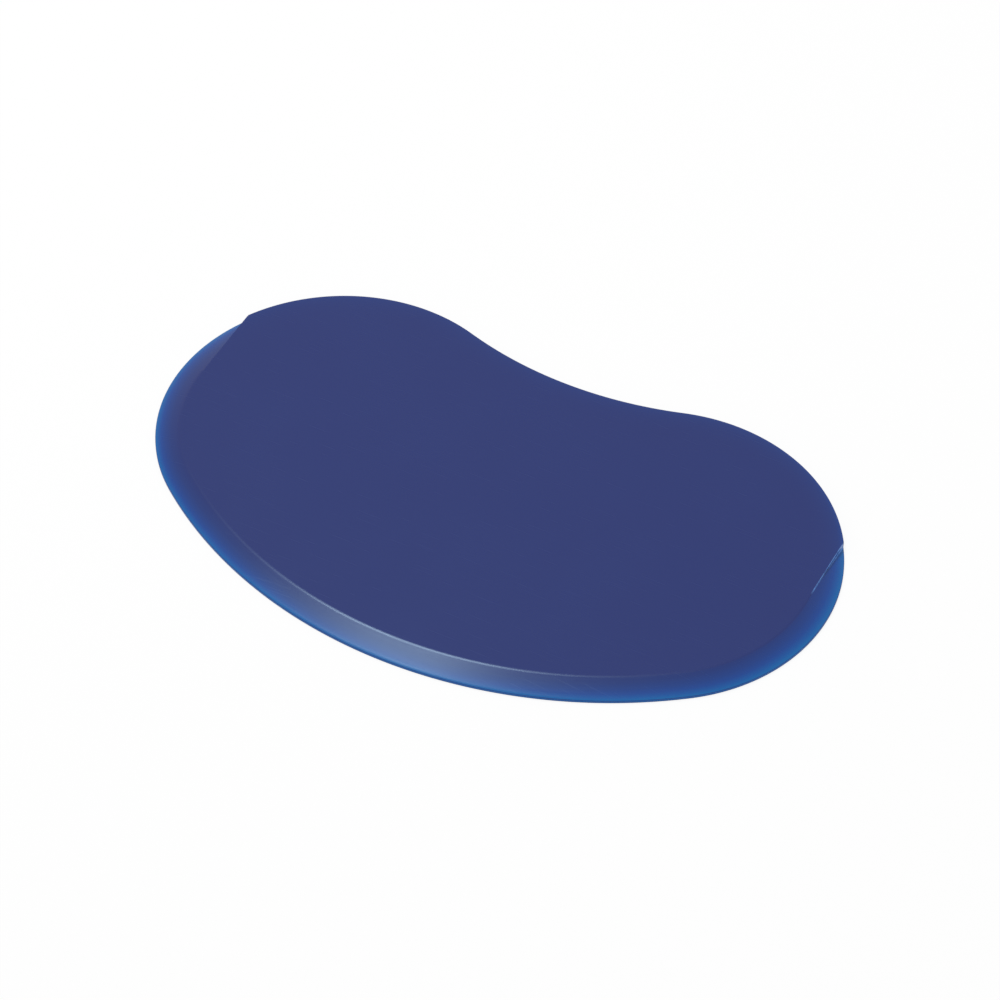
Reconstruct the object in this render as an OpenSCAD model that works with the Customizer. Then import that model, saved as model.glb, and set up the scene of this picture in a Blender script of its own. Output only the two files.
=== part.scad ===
// Kidney-shaped bowl scraper: one flat plastic plate with a thinned and bevelled working edge.
// It lies on its flat underside, with the working edge (belly) at -Y and the hollow (waist) at +Y.
// Its outline is a chain of arcs that meet tangentially: belly, lobe, waist and lobe.

/* [Outline] */
// Length over both lobes
length = 160; // [150:1:170]
// Radius of the two round lobes
lobe_r = 41; // [38:0.5:44]
// Radius of the long working edge, the belly
belly_r = 106; // [98:1:130]
// Radius of the hollow between the lobes, the waist
waist_r = 88.75; // [60:0.25:120]

/* [Thickness] */
// Thickness of the plate
thickness = 2.3; // [1.6:0.1:4]
// Thickness that the bevel leaves at the working edge
edge_t = 0.7; // [0.4:0.1:1.2]

/* [Bevel] */
// Width of the bevel along the belly and round the lobes
bevel_w = 5.5; // [3:0.5:9]

/* [Hidden] */
plastic_blue = [0.22, 0.25, 0.46];

// Centres of the right lobe, the belly and the waist. Two arcs meet tangentially
// where the line through their centres crosses the outline.
lobe_c = [length / 2 - lobe_r, 0];
belly_c = [0, sqrt(pow(belly_r - lobe_r, 2) - pow(lobe_c[0], 2))];
waist_c = [0, sqrt(pow(waist_r + lobe_r, 2) - pow(lobe_c[0], 2))];

// The bevel follows the lobe round to this line, parallel to Y, and stops there in a low step
runout_x = length / 2 - bevel_w;

// The outline's box is centred on X and Y
centre_y = (lobe_r + belly_c[1] - belly_r) / 2;

// A point well outside the plate on the line that parts the belly from the lobe
belly_ray = lobe_c + 3 * (lobe_c - belly_c);
beyond_x = 2 * length;
over_cut = 1;
arc_steps = 180;

function mirrored(p) = [-p[0], p[1]];

// Plan areas that part the plate where its arcs meet
belly_area = [mirrored(lobe_c), lobe_c, belly_ray, mirrored(belly_ray)];
waist_area = [mirrored(lobe_c), lobe_c, waist_c];
lobe_full_area = [lobe_c, [runout_x, 0], [runout_x, waist_c[1]], waist_c];
lobe_bevel_area = [
    lobe_c, belly_ray, [beyond_x, belly_ray[1]],
    [beyond_x, waist_c[1]], [runout_x, waist_c[1]], [runout_x, 0],
];

// Round plate about a centre, with the bevel all round its rim
module bevelled_disc(centre, radius)
    translate([centre[0], centre[1], 0])
        rotate_extrude($fn = arc_steps)
            polygon([
                [0, 0], [radius, 0], [radius, edge_t],
                [radius - bevel_w, thickness], [0, thickness],
            ]);

// Prism over a plan area, taller than the plate at both faces
module over(area)
    translate([0, 0, -over_cut])
        linear_extrude(thickness + 2 * over_cut)
            polygon(area);

module belly()
    intersection() {
        bevelled_disc(belly_c, belly_r);
        over(belly_area);
    }

module waist()
    difference() {
        linear_extrude(thickness)
            polygon(waist_area);
        translate([waist_c[0], waist_c[1], -over_cut])
            cylinder(r = waist_r, h = thickness + 2 * over_cut, $fn = arc_steps);
    }

module lobe() {
    intersection() {
        bevelled_disc(lobe_c, lobe_r);
        over(lobe_bevel_area);
    }
    intersection() {
        translate([lobe_c[0], lobe_c[1], 0])
            cylinder(r = lobe_r, h = thickness, $fn = arc_steps);
        over(lobe_full_area);
    }
}

module scraper_plate()
    color(plastic_blue)
        translate([0, -centre_y, 0]) {
            belly();
            waist();
            lobe();
            mirror([1, 0, 0]) lobe();
        }

scraper_plate();
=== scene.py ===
from math import acos, atan2, cos, hypot, pi, radians, sin, sqrt, tan

import bmesh
import bpy
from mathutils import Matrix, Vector


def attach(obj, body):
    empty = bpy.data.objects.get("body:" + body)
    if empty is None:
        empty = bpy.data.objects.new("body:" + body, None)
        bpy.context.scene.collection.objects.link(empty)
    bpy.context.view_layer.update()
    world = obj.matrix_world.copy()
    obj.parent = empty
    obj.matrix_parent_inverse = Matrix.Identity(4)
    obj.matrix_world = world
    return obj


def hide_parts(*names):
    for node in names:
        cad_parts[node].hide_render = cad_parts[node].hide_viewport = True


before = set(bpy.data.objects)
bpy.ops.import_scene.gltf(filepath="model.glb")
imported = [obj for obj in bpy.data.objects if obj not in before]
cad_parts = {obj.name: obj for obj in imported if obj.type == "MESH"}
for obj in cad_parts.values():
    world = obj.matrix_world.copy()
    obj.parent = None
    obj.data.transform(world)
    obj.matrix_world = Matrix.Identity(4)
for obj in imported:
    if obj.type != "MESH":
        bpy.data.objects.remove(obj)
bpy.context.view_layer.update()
MM = 0.001

# Sizes of the plate, as the solid has them
LENGTH = 160 * MM
THICKNESS = 2.3 * MM
LIP_T = 0.7 * MM
BEVEL_W = 5.5 * MM
LOBE_R = 41 * MM
BELLY_R = 106 * MM
WAIST_R = 88.75 * MM

# Centres of the arcs, the line where the bevel runs out, and the middle of the outline's box
LOBE_X = LENGTH / 2 - LOBE_R
BELLY_Y = sqrt((BELLY_R - LOBE_R) ** 2 - LOBE_X ** 2)
WAIST_Y = sqrt((WAIST_R + LOBE_R) ** 2 - LOBE_X ** 2)
RUNOUT_X = LENGTH / 2 - BEVEL_W
CENTRE_Y = (LOBE_R + BELLY_Y - BELLY_R) / 2

# The thickness that the bevel takes off, and its slope
BEVEL_FALL = THICKNESS - LIP_T
BEVEL_SLOPE = atan2(BEVEL_FALL, BEVEL_W)

# The edges are eased by this radius, and the outline lies this far inside the solid's
EASE_R = 0.12 * MM
SKIN = 0.02 * MM

# Stations along the arcs, and rings of the mesh from the rim inwards
BELLY_STEPS = 70
LOBE_BEVEL_STEPS = 50
RUNOUT_STEPS = 40
LOBE_BACK_STEPS = 70
WAIST_STEPS = 30
EASE_STEPS = 4
BEVEL_RINGS = 12
UNDER_RINGS = 6
INNER_RINGS = [0.35 * MM, 0.8 * MM, 1.5 * MM, 2.5 * MM, 4 * MM, 6.5 * MM]
MERGE_DISTANCE = 1e-7
DEGENERATE_DISTANCE = 1e-8


def arc_points(centre, radius, start, end, steps, inward):
    """Stations along an arc: place, inward direction and angle; inward is -1 towards its centre."""
    stations = []
    for i in range(steps):
        a = start + (end - start) * i / steps
        place = (centre[0] + radius * cos(a), centre[1] + radius * sin(a))
        stations.append((place, (inward * cos(a), inward * sin(a)), a))
    return stations


def half_outline():
    """Stations from the belly's middle round the right lobe to the waist's, with the bevel's reach."""
    belly_a = atan2(-BELLY_Y, LOBE_X)
    waist_a = atan2(WAIST_Y, -LOBE_X)
    runout_a = acos((RUNOUT_X - LOBE_X) / LOBE_R)
    lobe_c = (LOBE_X, 0.0)
    belly = arc_points((0.0, BELLY_Y), BELLY_R, -pi / 2, belly_a, BELLY_STEPS, -1)
    lobe_bevel = arc_points(lobe_c, LOBE_R, belly_a, 0.0, LOBE_BEVEL_STEPS, -1)
    runout = arc_points(lobe_c, LOBE_R, 0.0, runout_a, RUNOUT_STEPS, -1)
    lobe_back = arc_points(lobe_c, LOBE_R, runout_a, waist_a, LOBE_BACK_STEPS, -1)
    waist = arc_points((0.0, WAIST_Y), WAIST_R, waist_a - pi, -pi / 2, WAIST_STEPS, 1)
    rows = [(place, inward, BEVEL_W) for place, inward, _ in belly + lobe_bevel]
    rows += [(place, inward, LOBE_R - (RUNOUT_X - LOBE_X) / cos(a)) for place, inward, a in runout]
    rows += [(place, inward, 0.0) for place, inward, _ in lobe_back + waist]
    rows.append(((0.0, WAIST_Y - WAIST_R), (0.0, -1.0), 0.0))
    return rows


def full_outline():
    right = half_outline()
    left = [((-p[0], p[1]), (-n[0], n[1]), reach) for p, n, reach in reversed(right[1:-1])]
    return right + left


def bevel_height(gap):
    return LIP_T + BEVEL_FALL * gap / BEVEL_W


def rim_section(reach):
    """Points (inward gap, height, thinness) from the underside's middle over the rim to the top."""
    thin = 1.0 if reach > 0 else 0.0
    start = max(reach, EASE_R)
    points = [(start + gap, 0.0, 0.0) for gap in reversed(INNER_RINGS)]
    for i in range(UNDER_RINGS):
        gap = start + (EASE_R - start) * i / UNDER_RINGS
        points.append((gap, 0.0, thin * (1 - gap / BEVEL_W)))
    quarter = [i / EASE_STEPS * pi / 2 for i in range(EASE_STEPS + 1)]
    points += [(EASE_R * (1 - sin(a)), EASE_R * (1 - cos(a)), thin) for a in quarter]
    if reach > 0:
        # The lip's edge is eased by an arc that meets both the wall and the bevel tangentially
        lip = min(EASE_R, reach / 2)
        arc_z = LIP_T + lip * (tan(BEVEL_SLOPE) - 1 / cos(BEVEL_SLOPE))
        turn = pi / 2 - BEVEL_SLOPE
        for i in range(EASE_STEPS + 1):
            a = turn * i / EASE_STEPS
            points.append((lip * (1 - cos(a)), arc_z + lip * sin(a), thin))
        flat = lip * (1 - cos(turn))
        for i in range(1, BEVEL_RINGS + 1):
            gap = flat + (reach - flat) * i / BEVEL_RINGS
            points.append((gap, bevel_height(gap), 1 - gap / BEVEL_W))
        low = bevel_height(reach)
        for i in range(1, EASE_STEPS + 1):
            height = low + (THICKNESS - low) * i / EASE_STEPS
            points.append((reach, height, (THICKNESS - height) / BEVEL_FALL))
        start = reach
    else:
        top_edge = THICKNESS - EASE_R
        points += [(0.0, LIP_T, thin)] * (EASE_STEPS + BEVEL_RINGS)
        points += [(EASE_R * (1 - cos(a)), top_edge + EASE_R * sin(a), thin) for a in quarter]
    points += [(start + gap, THICKNESS, 0.0) for gap in INNER_RINGS]
    return points


def build_plate():
    """The plate as one closed mesh: rings that follow the outline, with a crisp arris."""
    stations = full_outline()
    mesh = bpy.data.meshes.new("scraper_plate_body")
    bm = bmesh.new()
    gap_layer = bm.verts.layers.float.new("rim_gap")
    along_layer = bm.verts.layers.float.new("along")
    thin_layer = bm.verts.layers.float.new("thinness")
    columns = []
    along = 0.0
    last = stations[0][0]
    for place, inward, reach in stations:
        along += hypot(place[0] - last[0], place[1] - last[1])
        last = place
        column = []
        for gap, height, thin in rim_section(reach):
            x = place[0] + inward[0] * (gap + SKIN)
            y = place[1] + inward[1] * (gap + SKIN) - CENTRE_Y
            vert = bm.verts.new((x, y, height))
            vert[gap_layer] = gap
            vert[along_layer] = along
            vert[thin_layer] = thin
            column.append(vert)
        columns.append(column)
    rings = len(columns[0])
    wall_foot = len(INNER_RINGS) + UNDER_RINGS + 2 * (EASE_STEPS + 1) + BEVEL_RINGS - 1
    wall_top = wall_foot + EASE_STEPS
    for i, column in enumerate(columns):
        following = columns[(i + 1) % len(columns)]
        bevelled = stations[i][2] > 0
        for k in range(rings - 1):
            face = bm.faces.new((column[k], following[k], following[k + 1], column[k + 1]))
            face.smooth = True
        for k in (wall_foot, wall_top):
            bm.edges.get((column[k], following[k])).smooth = not bevelled
    bm.faces.new([column[0] for column in reversed(columns)])
    bm.faces.new([column[-1] for column in columns])
    bmesh.ops.remove_doubles(bm, verts=bm.verts, dist=MERGE_DISTANCE)
    bmesh.ops.dissolve_degenerate(bm, dist=DEGENERATE_DISTANCE, edges=bm.edges)
    bmesh.ops.recalc_face_normals(bm, faces=bm.faces)
    bm.to_mesh(mesh)
    bm.free()
    plate = bpy.data.objects.new("scraper_plate_body", mesh)
    bpy.context.scene.collection.objects.link(plate)
    return plate


class Sock:
    """A shader value: arithmetic on it adds Math nodes to its tree."""

    def __init__(self, tree, out):
        self.tree = tree
        self.out = out

    def math(self, operation, *others):
        inputs = {0: self}
        inputs.update({i + 1: other for i, other in enumerate(others)})
        return node(self.tree, "ShaderNodeMath", {"operation": operation}, inputs)

    def __add__(self, other):
        return self.math("ADD", other)

    def __radd__(self, other):
        return self.math("ADD", other)

    def __sub__(self, other):
        return self.math("SUBTRACT", other)

    def __rsub__(self, other):
        return self.math("MULTIPLY", -1.0).math("ADD", other)

    def __mul__(self, other):
        return self.math("MULTIPLY", other)

    def __rmul__(self, other):
        return self.math("MULTIPLY", other)

    def __truediv__(self, other):
        return self.math("DIVIDE", other)

    def __pow__(self, other):
        return self.math("POWER", other)

    def __abs__(self):
        return self.math("ABSOLUTE")

    def clamp(self):
        return self.math("MAXIMUM", 0.0).math("MINIMUM", 1.0)


def node(tree, kind, settings, inputs, output=0):
    """Adds a node, sets it up, joins its inputs and gives one of its outputs, if it has any."""
    made = tree.nodes.new(kind)
    for name, value in settings.items():
        if name == "stops":
            ramp = made.color_ramp
            while len(ramp.elements) < len(value):
                ramp.elements.new(1.0)
            for element, (place, colour) in zip(ramp.elements, value):
                element.position = place
                element.color = (*colour, 1.0)
        else:
            setattr(made, name, value)
    for name, value in inputs.items():
        if isinstance(value, Sock):
            tree.links.new(value.out, made.inputs[name])
        else:
            made.inputs[name].default_value = value
    return Sock(tree, made.outputs[output]) if len(made.outputs) else None


def noise(tree, place, scale, detail):
    settings = {"Vector": place, "Scale": scale, "Detail": detail}
    return node(tree, "ShaderNodeTexNoise", {}, settings)


def attribute(tree, name):
    return node(tree, "ShaderNodeAttribute", {"attribute_name": name}, {}, "Fac")


def mix_colour(tree, factor, under, over):
    """The result of a colour mix, whose colour sockets are its seventh and eighth."""
    inputs = {"Factor": factor, 6: under, 7: over}
    return node(tree, "ShaderNodeMix", {"data_type": "RGBA"}, inputs, 2)


def new_material(name):
    material = bpy.data.materials.new(name)
    material.use_nodes = True
    material.node_tree.nodes.clear()
    return material, material.node_tree


# Colours from the plastic's own dark blue at full thickness to painted glow at its thinnest edge,
# where light shines through
PLASTIC_AND_GLOW_COLOURS = [
    (0.0, (0.0135, 0.020, 0.143)),
    (0.36, (0.0125, 0.028, 0.171)),
    (0.6, (0.010, 0.038, 0.218)),
    (0.76, (0.008, 0.050, 0.272)),
    (0.88, (0.005, 0.080, 0.330)),
    (1.0, (0.004, 0.122, 0.375)),
]
# Light blue of the painted glints on the low step's edges
GLINT_COLOUR = (0.16, 0.36, 0.80, 1.0)
SPECK_COLOUR = (0.30, 0.38, 0.60, 1.0)
PLASTIC_ROUGHNESS = 0.24
PLASTIC_IOR = 1.49
PLASTIC_SPECULAR = 0.42
PLASTIC_SHEEN_TINT = (0.60, 0.84, 1.0, 1.0)

# The bevel's mask rises from this thinness by this gain
BEVEL_ONSET = 0.02
BEVEL_GAIN = 20.0

# Painted glow of light through the plastic, from 0 at full thickness to 1 at the thinnest edge
END_GLOW = 0.42
END_GLOW_POWER = 6.0
RIM_GLOW = 0.34
RIM_GLOW_AT_END = 0.36
RIM_GLOW_POWER = 3.0
RIM_GLOW_DEPTH = 1.9 * MM
TOP_LAYER = 0.1 * MM
WALL_GLOW = 0.92
WALL_GLOW_FALL = 0.7
CLOUD_GLOW = 0.10
FLECK_GLOW = 0.03

# Painted glints of light on the low step's edges: width, first place along the step and length of the
# fade
GLINT_WIDTH = 0.16 * MM
GLINT_START = 3.5 * MM
GLINT_FADE = 2 * MM
GLINT_GAP_DEPTH = 0.3
GLINT_GAP_GAIN = 3.0
GLINT_GAP = 0.8
GLINT_GAIN = 1.6

# Scales of the noises per metre, with their detail
CLOUD = (45.0, 3.0)
FLECK = (900.0, 2.0)
# The third noise breaks up the painted glints on the step's edges
GLINT_BREAKUP = (700.0, 2.0)
SPECK_SCALE = 42.0
SPECK_RADIUS = 0.018
SPECK_SHARE = 0.8

# Cutter marks run along the bevel and chatter marks across it: scales per metre
MARKS_ALONG, MARKS_ACROSS = 60.0, 2600.0
CHATTER_ALONG, CHATTER_ACROSS, CHATTER_SEED = 700.0, 90.0, 3.0
MARKS_SHARE, CHATTER_SHARE = 0.6, 0.4

# Fine scratches on the top: their turn, their stretch and the level above which they show
SCRATCH_TURN = (0, 0, 0.35)
SCRATCH_STRETCH = (90.0, 2600.0, 1.0)
SCRATCH_LEVEL = 0.62

# Relief of the surface
CLOUD_RELIEF = 0.8
SCRATCH_RELIEF = 0.7
FLECK_RELIEF = 0.06
BUMP_STRENGTH = 0.25
BUMP_DISTANCE = 0.012 * MM

# Changes in the roughness
CLOUD_ROUGH = 0.05
MARKS_ROUGH = 0.10
SCRATCH_ROUGH = 0.4


def plastic_material():
    """Translucent blue plastic: painted light makes it brighter where it is thin, with fine cutter
    marks on the bevel.
    """
    material, tree = new_material("blue_plastic_translucent")
    coords = node(tree, "ShaderNodeTexCoord", {}, {}, "Object")
    split = tree.nodes.new("ShaderNodeSeparateXYZ")
    tree.links.new(coords.out, split.inputs[0])
    x, y, z = (Sock(tree, split.outputs[i]) for i in range(3))
    gap, along, thinness = (attribute(tree, name) for name in ("rim_gap", "along", "thinness"))
    cloud = noise(tree, coords, *CLOUD)
    fleck = noise(tree, coords, *FLECK)
    on_bevel = ((thinness - BEVEL_ONSET) * BEVEL_GAIN).clamp()

    # Painted glow: light gathers at the right end, over the whole bevel and in the full-thickness rim
    on_rim = (gap / EASE_R).clamp()
    side = (x / LENGTH + 0.5).clamp()
    end_glow = END_GLOW * side ** END_GLOW_POWER * on_bevel
    bevel_glow = (thinness + end_glow * (1 - thinness)) * on_rim
    rim_share = RIM_GLOW + RIM_GLOW_AT_END * side ** RIM_GLOW_POWER
    rim_glow = (gap / -RIM_GLOW_DEPTH).math("EXPONENT") * rim_share
    top_share = ((z - (THICKNESS - TOP_LAYER)) / TOP_LAYER).clamp()
    wall_height = ((z - LIP_T) / BEVEL_FALL).clamp()
    wall_glow = (1 - on_rim) * (WALL_GLOW - WALL_GLOW_FALL * wall_height)
    glow = bevel_glow.math("MAXIMUM", rim_glow * top_share).math("MAXIMUM", wall_glow)
    glow = (glow + (cloud - 0.5) * CLOUD_GLOW + (fleck - 0.5) * FLECK_GLOW).clamp()
    colour = node(tree, "ShaderNodeValToRGB", {"stops": PLASTIC_AND_GLOW_COLOURS}, {"Fac": glow})

    # Painted glints: light caught on the edges of the low step where the bevel runs out at the right
    # end
    line = (1 - abs(abs(x) - RUNOUT_X) / GLINT_WIDTH).clamp()
    raised = (z / LIP_T).math("FLOOR").clamp()
    at_right = (x / MM).clamp()
    span = ((y + CENTRE_Y - GLINT_START) / GLINT_FADE).clamp() * at_right * raised
    step_depth = (THICKNESS - z) / BEVEL_FALL
    wall_middle = 1 - abs((step_depth - GLINT_GAP_DEPTH) * GLINT_GAP_GAIN).math("MINIMUM", 1.0)
    glint_breakup = noise(tree, coords, *GLINT_BREAKUP)
    painted_glint = (line * span * (1 - GLINT_GAP * wall_middle) * (glint_breakup * GLINT_GAIN)).clamp()
    colour = mix_colour(tree, painted_glint, colour, GLINT_COLOUR)

    # Sparse dust specks
    near = {"Vector": coords, "Scale": SPECK_SCALE}
    cells = node(tree, "ShaderNodeTexVoronoi", {"feature": "F1"}, near, "Distance")
    speck = (1 - cells / SPECK_RADIUS).clamp()
    colour = mix_colour(tree, speck * SPECK_SHARE, colour, SPECK_COLOUR)

    # Cutter marks follow the bevel, and scratches cross the top
    lengthwise = {"X": along * MARKS_ALONG, "Y": gap * MARKS_ACROSS, "Z": 0.0}
    marks = noise(tree, node(tree, "ShaderNodeCombineXYZ", {}, lengthwise), 1.0, 3.0)
    crosswise = {"X": along * CHATTER_ALONG, "Y": gap * CHATTER_ACROSS, "Z": CHATTER_SEED}
    chatter = noise(tree, node(tree, "ShaderNodeCombineXYZ", {}, crosswise), 1.0, 2.0)
    turned = {"Vector": coords, "Rotation": SCRATCH_TURN, "Scale": SCRATCH_STRETCH}
    scratches = noise(tree, node(tree, "ShaderNodeMapping", {}, turned), 1.0, 1.0)
    fine = (scratches - SCRATCH_LEVEL).math("MAXIMUM", 0.0)
    cut = on_bevel * (marks * MARKS_SHARE + chatter * CHATTER_SHARE)
    worn_flat = (1 - on_bevel) * (cloud * CLOUD_RELIEF - fine * SCRATCH_RELIEF)
    relief = {"Height": cut + worn_flat + fleck * FLECK_RELIEF,
              "Strength": BUMP_STRENGTH, "Distance": BUMP_DISTANCE}
    rough = (PLASTIC_ROUGHNESS + (cloud - 0.5) * CLOUD_ROUGH
             + on_bevel * (marks - 0.5) * MARKS_ROUGH + fine * SCRATCH_ROUGH)

    shader = node(tree, "ShaderNodeBsdfPrincipled", {}, {
        "Base Color": colour, "Roughness": rough, "IOR": PLASTIC_IOR,
        "Specular IOR Level": PLASTIC_SPECULAR, "Specular Tint": PLASTIC_SHEEN_TINT,
        "Normal": node(tree, "ShaderNodeBump", {}, relief),
    })
    node(tree, "ShaderNodeOutputMaterial", {}, {"Surface": shader})
    return material


FLOOR_SIZE = 6.0
FLOOR_COLOUR = (0.97, 0.97, 0.97, 1.0)
FLOOR_CAMERA_SHARE = 0.88
WHITE = (1, 1, 1, 1)
# The sheet lies this far below the plate, so that the two faces don't share a plane
FLOOR_GAP = 0.05 * MM


def build_floor():
    """A white sheet under the plate, which keeps a faint shadow."""
    mesh = bpy.data.meshes.new("white_sheet")
    half = FLOOR_SIZE / 2
    corners = [(-half, -half), (half, -half), (half, half), (-half, half)]
    mesh.from_pydata([(x, y, -FLOOR_GAP) for x, y in corners], [], [(0, 1, 2, 3)])
    floor = bpy.data.objects.new("white_sheet", mesh)
    bpy.context.scene.collection.objects.link(floor)
    material, tree = new_material("white_sheet_paper")
    path = tree.nodes.new("ShaderNodeLightPath")
    seen = Sock(tree, path.outputs["Is Camera Ray"]) * FLOOR_CAMERA_SHARE
    paper = node(tree, "ShaderNodeBsdfDiffuse", {}, {"Color": FLOOR_COLOUR})
    bright = node(tree, "ShaderNodeEmission", {}, {"Color": WHITE, "Strength": 1.0})
    mix = node(tree, "ShaderNodeMixShader", {}, {0: seen, 1: paper, 2: bright})
    node(tree, "ShaderNodeOutputMaterial", {}, {"Surface": mix})
    mesh.materials.append(material)


# The lamp stands where the front-left bevel reflects it to the camera
SOFTBOX_DIRECTION = Vector((-0.304, 0.167, 0.94)).normalized()
SOFTBOX_DISTANCE = 1.0
SOFTBOX_SIZE = 0.26
SOFTBOX_POWER = 3.7
WORLD_AMBIENT = 0.645


def build_light():
    """One soft lamp overhead, and a white surround that is dimmer as a light than to the eye."""
    lamp = bpy.data.lights.new("softbox", "AREA")
    lamp.shape = "SQUARE"
    lamp.size = SOFTBOX_SIZE
    lamp.energy = SOFTBOX_POWER
    softbox = bpy.data.objects.new("softbox", lamp)
    softbox.location = SOFTBOX_DIRECTION * SOFTBOX_DISTANCE
    softbox.rotation_euler = SOFTBOX_DIRECTION.to_track_quat("Z", "Y").to_euler()
    bpy.context.scene.collection.objects.link(softbox)

    world = bpy.data.worlds.new("white_surround")
    world.use_nodes = True
    tree = world.node_tree
    tree.nodes.clear()
    path = tree.nodes.new("ShaderNodeLightPath")
    rays = ("Is Camera Ray", "Is Glossy Ray", "Is Transmission Ray")
    camera, glossy, through = (Sock(tree, path.outputs[name]) for name in rays)
    seen = camera.math("MAXIMUM", glossy).math("MAXIMUM", through)
    strength = seen * (1 - WORLD_AMBIENT) + WORLD_AMBIENT
    surround = node(tree, "ShaderNodeBackground", {}, {"Color": WHITE, "Strength": strength})
    node(tree, "ShaderNodeOutputWorld", {}, {"Surface": surround})
    bpy.context.scene.world = world


# The photograph's camera: its turn about the plate, its height and what it looks at
CAMERA_AZIMUTH = radians(27.92)
CAMERA_ELEVATION = radians(47.39)
CAMERA_DISTANCE = 875.6 * MM
CAMERA_LENS = 144.0
CAMERA_SENSOR = 36.0
LOOK_AT = Vector((2.03 * MM, 5.06 * MM, 0))


def build_camera():
    """The photograph's view: from the belly side, a little to the right."""
    data = bpy.data.cameras.new("photo_view")
    data.sensor_width = CAMERA_SENSOR
    data.lens = CAMERA_LENS
    camera = bpy.data.objects.new("photo_view", data)
    away = Vector((
        sin(CAMERA_AZIMUTH) * cos(CAMERA_ELEVATION),
        -cos(CAMERA_AZIMUTH) * cos(CAMERA_ELEVATION),
        sin(CAMERA_ELEVATION),
    ))
    camera.location = LOOK_AT + away * CAMERA_DISTANCE
    camera.rotation_euler = away.to_track_quat("Z", "Y").to_euler()
    bpy.context.scene.collection.objects.link(camera)
    bpy.context.scene.camera = camera


build_camera()
build_light()
build_floor()
plate = build_plate()
plate.data.materials.append(plastic_material())
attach(plate, "root")
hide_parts("scraper_plate")
bpy.context.scene.view_settings.view_transform = "Standard"
